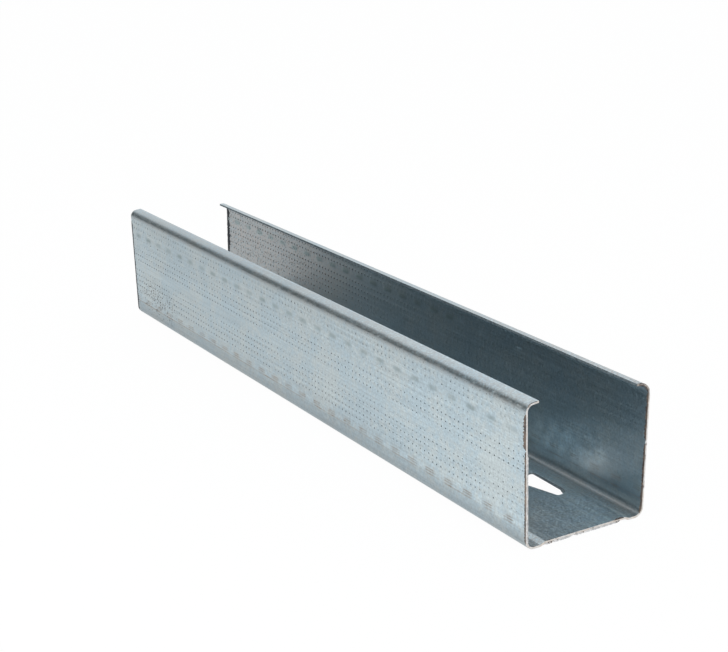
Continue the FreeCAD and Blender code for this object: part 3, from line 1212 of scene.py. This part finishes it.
far_burr = burr_piece("far_end_burr", True, [
    (OUTER, walked_at(-1, 45), LEFT_BOTTOM + 2, 1.1, 0.03),
    (HOLLOW, RIGHT_BOTTOM, walked_at(1, 46.5), 2.9, 0.30),
])

# %% [markdown]
# ## Finishes
#
# All the finishes share two effects, so each effect is a node group with its own inputs. The first is the
# cloudy, grainy tone of metal that was dipped, rolled and handled. It could be one noise, but real zinc
# changes at three sizes at once: clouds as wide as a thumb, speckle like frost, and faint streaks along
# the way that the strip ran through the rolls.

# %% Helpers for node groups
FLOAT = "NodeSocketFloat"
COLOUR = "NodeSocketColor"


def new_group(name, inputs, outputs):
    """An empty shader node group with named sockets. Hands back what comes in and what goes out too."""
    group = bpy.data.node_groups.new(name, "ShaderNodeTree")
    for label, (kind, value) in inputs.items():
        socket = group.interface.new_socket(label, in_out="INPUT", socket_type=kind)
        socket.default_value = value
    for label, kind in outputs.items():
        group.interface.new_socket(label, in_out="OUTPUT", socket_type=kind)
    print("group:", group.name)
    return group, group.nodes.new("NodeGroupInput").outputs, group.nodes.new("NodeGroupOutput").inputs


def on_vector(tree, operation, vector, other):
    """One step of arithmetic on a vector or a colour. SCALE takes a number, the others a vector."""
    inputs = {0: vector, "Scale" if operation == "SCALE" else 1: other}
    return add_node(tree, "ShaderNodeVectorMath", inputs, operation=operation).outputs[0]


def place_in_mm(tree):
    """The place on the piece in millimetres."""
    return on_vector(tree, "SCALE", add_node(tree, "ShaderNodeTexCoord").outputs["Object"], 1000.0)


def noise_at(tree, place, rate, detail):
    """Noise from 0 to 1. The rate says how many lumps there are to one unit of the place."""
    inputs = {"Vector": place, "Scale": rate, "Detail": detail}
    return add_node(tree, "ShaderNodeTexNoise", inputs).outputs[0]


print("group helpers ready")

# %% Group: cloudy metal tone
SPECKLE_RATE = 1.2
FROST_RATE = 0.5
FROST_SHIFT = (40, 7, 90)
STREAK_RATE = 1.6
STREAK_STRETCH = (1, 0.018, 1)
CLOUD_SHARE = 0.55
NOISE_LOW = 0.40
NOISE_HIGH = 0.62

tone_inputs = {
    "Cool Colour": (COLOUR, (0.5, 0.55, 0.6, 1)),
    "Warm Colour": (COLOUR, (0.6, 0.58, 0.52, 1)),
    "Cloud Size mm": (FLOAT, 14.0),
    "Speckle": (FLOAT, 0.1),
    "Streaks": (FLOAT, 0.1),
}
tree, given, result = new_group("cloudy metal tone", tone_inputs, {"Colour": COLOUR, "Height": FLOAT})
tone_group = tree
in_mm = place_in_mm(tree)
cloud = noise_at(tree, in_mm, compute(tree, "DIVIDE", 1.0, given["Cloud Size mm"]), 4.0)
frost = noise_at(tree, on_vector(tree, "ADD", in_mm, FROST_SHIFT), FROST_RATE, 3.0)
cloud_part = compute(tree, "MULTIPLY", cloud, CLOUD_SHARE)
mottled = compute(tree, "ADD", cloud_part, compute(tree, "MULTIPLY", frost, 1 - CLOUD_SHARE))
warmth = remap(tree, mottled, NOISE_LOW, NOISE_HIGH)
toned = blend_colours(tree, warmth, given["Cool Colour"], given["Warm Colour"])
speckle = noise_at(tree, in_mm, SPECKLE_RATE, 2.0)
streak = noise_at(tree, on_vector(tree, "MULTIPLY", in_mm, STREAK_STRETCH), STREAK_RATE, 3.0)
speckle_shift = compute(tree, "MULTIPLY", compute(tree, "SUBTRACT", speckle, 0.5), given["Speckle"])
streak_shift = compute(tree, "MULTIPLY", compute(tree, "SUBTRACT", streak, 0.5), given["Streaks"])
shift = compute(tree, "ADD", speckle_shift, streak_shift)
brightness = compute(tree, "ADD", 1.0, compute(tree, "MULTIPLY", shift, 2.0))
height = compute(tree, "ADD", compute(tree, "MULTIPLY", shift, 4.0), 0.5)
tree.links.new(on_vector(tree, "SCALE", toned, brightness), result["Colour"])
tree.links.new(height, result["Height"])

# %% [markdown]
# The second is grime: dirt, rust, dust and shadow-dark zinc that sits in hollows. A mask says where it may
# be, and a noise breaks the mask up, because dirt never fills a hollow evenly.

# %% Group: broken grime
grime_inputs = {
    "Clean Colour": (COLOUR, (0.5, 0.5, 0.5, 1)),
    "Grime Colour": (COLOUR, (0.1, 0.08, 0.06, 1)),
    "Mask": (FLOAT, 0.0),
    "Strength": (FLOAT, 1.0),
    "Break Size mm": (FLOAT, 1.5),
    "Breaks": (FLOAT, 0.5),
}
tree, given, result = new_group("broken grime", grime_inputs, {"Colour": COLOUR, "Amount": FLOAT})
grime_group = tree
breaks = noise_at(tree, place_in_mm(tree), compute(tree, "DIVIDE", 1.0, given["Break Size mm"]), 2.0)
holes = compute(tree, "MULTIPLY", remap(tree, breaks, NOISE_LOW, NOISE_HIGH), given["Breaks"])
held = compute(tree, "MULTIPLY", given["Mask"], compute(tree, "SUBTRACT", 1.0, holes))
amount = compute(tree, "MULTIPLY", held, given["Strength"], clamp=True)
dirty = blend_colours(tree, amount, given["Clean Colour"], given["Grime Colour"])
tree.links.new(dirty, result["Colour"])
tree.links.new(amount, result["Amount"])

# %% [markdown]
# A material starts as a bare shader. These helpers place the two effects in it with the material's own
# values, read a mask from the mesh's points, and let the grain of the finish bend the light a little.

# %% Helpers for materials
BUMP_DISTANCE = 0.0001


def new_material(name):
    """A material with a bare Principled shader on its output."""
    made = bpy.data.materials.new(name)
    tree = bare_tree(made)
    shader = add_node(tree, "ShaderNodeBsdfPrincipled")
    add_node(tree, "ShaderNodeOutputMaterial", {"Surface": shader.outputs[0]})
    print("finish:", made.name)
    return made, tree, shader.inputs


def place_tone(tree, cool, warm, cloud_size, speckle, streaks):
    """Place the cloudy metal tone."""
    inputs = {"Cool Colour": cool, "Warm Colour": warm, "Cloud Size mm": cloud_size}
    inputs.update({"Speckle": speckle, "Streaks": streaks})
    return add_node(tree, "ShaderNodeGroup", inputs, node_tree=tone_group).outputs


def mask_of(tree, name):
    """A mask that is kept on the mesh's points."""
    return add_node(tree, "ShaderNodeAttribute", attribute_name=name).outputs["Fac"]


def place_grime(tree, clean, colour, mask, strength, breaks=0.5, break_size=1.5):
    """Place a layer of broken grime over a clean colour. The mask can be the name of one on the points."""
    mask = mask_of(tree, mask) if isinstance(mask, str) else mask
    inputs = {"Clean Colour": clean, "Grime Colour": colour, "Mask": mask}
    inputs.update({"Strength": strength, "Breaks": breaks, "Break Size mm": break_size})
    return add_node(tree, "ShaderNodeGroup", inputs, node_tree=grime_group).outputs


def raise_grain(tree, height, strength, normal):
    """Bend the shader's normal by a height that changes over the surface."""
    inputs = {"Height": height, "Strength": strength, "Distance": BUMP_DISTANCE}
    tree.links.new(add_node(tree, "ShaderNodeBump", inputs).outputs[0], normal)


print("material helpers ready")

# %% [markdown]
# ### Zinc
#
# The sheet's own finish: matt zinc, bluish where it is clean and straw coloured where it was handled. Its
# colour is first scaled by the painted light and shade of the tone mask, with painted glints inside the
# right flange. Then layers lie on it: bluish painted shade inside the channel, dust, the tone of the finger
# marks, the brown of the rolls in grooves and crease, dirt and painted shade in the pins, and last the
# grains of soil.

# %% Zinc
COOL_ZINC = (0.480, 0.585, 0.640, 1)
WARM_ZINC = (0.545, 0.615, 0.632, 1)
# Bluish painted shade for the inside of the channel.
HOLLOW_SHADE_COLOUR = (0.300, 0.395, 0.458, 1)
DUST = (0.430, 0.410, 0.394, 1)
# Colour of dirt and painted shade in the pins.
PIN_DIRT_AND_SHADE = (0.055, 0.050, 0.045, 1)
FINGER_TONE = (0.270, 0.335, 0.345, 1)
ROLL_BROWN = (0.260, 0.220, 0.180, 1)
SOIL = (0.120, 0.105, 0.095, 1)
SOIL_GRAIN_RATE = 1.2

zinc, tree, shader = new_material("zinc")
tone = place_tone(tree, COOL_ZINC, WARM_ZINC, cloud_size=16.0, speckle=0.36, streaks=0.26)
# The tone mask paints light and shade, with glints, into the zinc's colour.
toned = on_vector(tree, "SCALE", tone["Colour"], mask_of(tree, "tone"))
# Bluish painted shade darkens the inside of the channel.
hollow_shaded = place_grime(tree, toned, HOLLOW_SHADE_COLOUR, "hollow_shade", strength=0.35, break_size=6.0)
dusty = place_grime(tree, hollow_shaded["Colour"], DUST, "dust", strength=0.85, breaks=0.8, break_size=0.7)
fingers = place_grime(tree, dusty["Colour"], FINGER_TONE, "press", strength=0.8, breaks=0.25)
scores = place_grime(tree, fingers["Colour"], ROLL_BROWN, "score", strength=1.0, breaks=0.35)
# Dirt and painted shade in the pits, dirt on the bulges.
pits = place_grime(tree, scores["Colour"], PIN_DIRT_AND_SHADE, "pit", strength=1.4, breaks=0.2)
grains = remap(tree, noise_at(tree, place_in_mm(tree), SOIL_GRAIN_RATE, 1.0), 0.58, 0.68)
grain_mask = compute(tree, "MULTIPLY", grains, mask_of(tree, "soil"))
soiled = place_grime(tree, pits["Colour"], SOIL, grain_mask, strength=1.0, breaks=0.3)
dirt = soiled["Amount"]
grain_roughness = remap(tree, tone["Height"], 0.2, 0.8, 0.34, 0.44)
roughness = compute(tree, "MINIMUM", compute(tree, "ADD", grain_roughness, dirt), 0.9)
metallic = compute(tree, "SUBTRACT", 1.0, compute(tree, "MULTIPLY", dirt, 0.7))
tree.links.new(soiled["Colour"], shader["Base Color"])
tree.links.new(roughness, shader["Roughness"])
tree.links.new(metallic, shader["Metallic"])
raise_grain(tree, tone["Height"], 0.07, shader["Normal"])
stud.data.materials.append(zinc)

# %% [markdown]
# ### Sawn steel
#
# The sawn ends are bare steel: paler and warmer than zinc, streaked by the saw, with rust that has begun in
# patches and has covered the end of the right lip.

# %% Sawn steel
BARE_STEEL = (0.730, 0.717, 0.705, 1)
WARM_STEEL = (0.660, 0.605, 0.550, 1)
RUST = (0.140, 0.105, 0.082, 1)
RUST_RATE = 0.26

sawn, tree, shader = new_material("sawn_steel")
tone = place_tone(tree, BARE_STEEL, WARM_STEEL, cloud_size=4.0, speckle=0.3, streaks=0.1)
patches = remap(tree, noise_at(tree, place_in_mm(tree), RUST_RATE, 3.0), 0.56, 0.70)
rust_mask = compute(tree, "MAXIMUM", patches, mask_of(tree, "soil"))
rusted = place_grime(tree, tone["Colour"], RUST, rust_mask, strength=0.8, break_size=0.8)
tree.links.new(rusted["Colour"], shader["Base Color"])
tree.links.new(remap(tree, rusted["Amount"], 0.0, 1.0, 0.38, 0.85), shader["Roughness"])
tree.links.new(remap(tree, rusted["Amount"], 0.0, 1.0, 0.85, 0.15), shader["Metallic"])
raise_grain(tree, tone["Height"], 0.35, shader["Normal"])
stud.data.materials.append(sawn)

# %% [markdown]
# ### Burrs and the punched wall
#
# A burr is rough and mostly rust, with a little metal showing through. At the near end it is brown, beside
# a bright curl. At the far end it is burnt nearly black. The wall of the hole and the right lip's slit edge
# are dull dark steel. One function makes all four finishes from their two colours.

# %% Burr finishes
def burr_finish(name, light, dark):
    """A rough finish that changes between two colours in small patches."""
    made, tree, shader = new_material(name)
    tone = place_tone(tree, dark, light, cloud_size=1.6, speckle=0.5, streaks=0.0)
    grimy = place_grime(tree, tone["Colour"], dark, 1.0, strength=0.5, break_size=0.7)
    tree.links.new(grimy["Colour"], shader["Base Color"])
    shader["Roughness"].default_value = 0.7
    shader["Metallic"].default_value = 0.35
    raise_grain(tree, tone["Height"], 0.6, shader["Normal"])
    return made


rusty = burr_finish("rusty_burr", (0.300, 0.225, 0.175, 1), (0.085, 0.070, 0.064, 1))
burnt = burr_finish("burnt_burr", (0.060, 0.070, 0.080, 1), (0.020, 0.023, 0.028, 1))
bright = burr_finish("bright_burr", (0.840, 0.820, 0.800, 1), (0.520, 0.510, 0.505, 1))
punched = burr_finish("punched_wall", (0.230, 0.280, 0.300, 1), (0.110, 0.135, 0.150, 1))
for piece, finish in ((near_burr, rusty), (far_burr, burnt), (near_curl, bright), (stud, punched)):
    piece.data.materials.append(finish)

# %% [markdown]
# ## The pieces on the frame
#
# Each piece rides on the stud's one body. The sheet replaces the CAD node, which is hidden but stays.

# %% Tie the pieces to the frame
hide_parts("c_stud")
for piece in (stud, near_burr, near_curl, far_burr):
    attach(piece, "root")
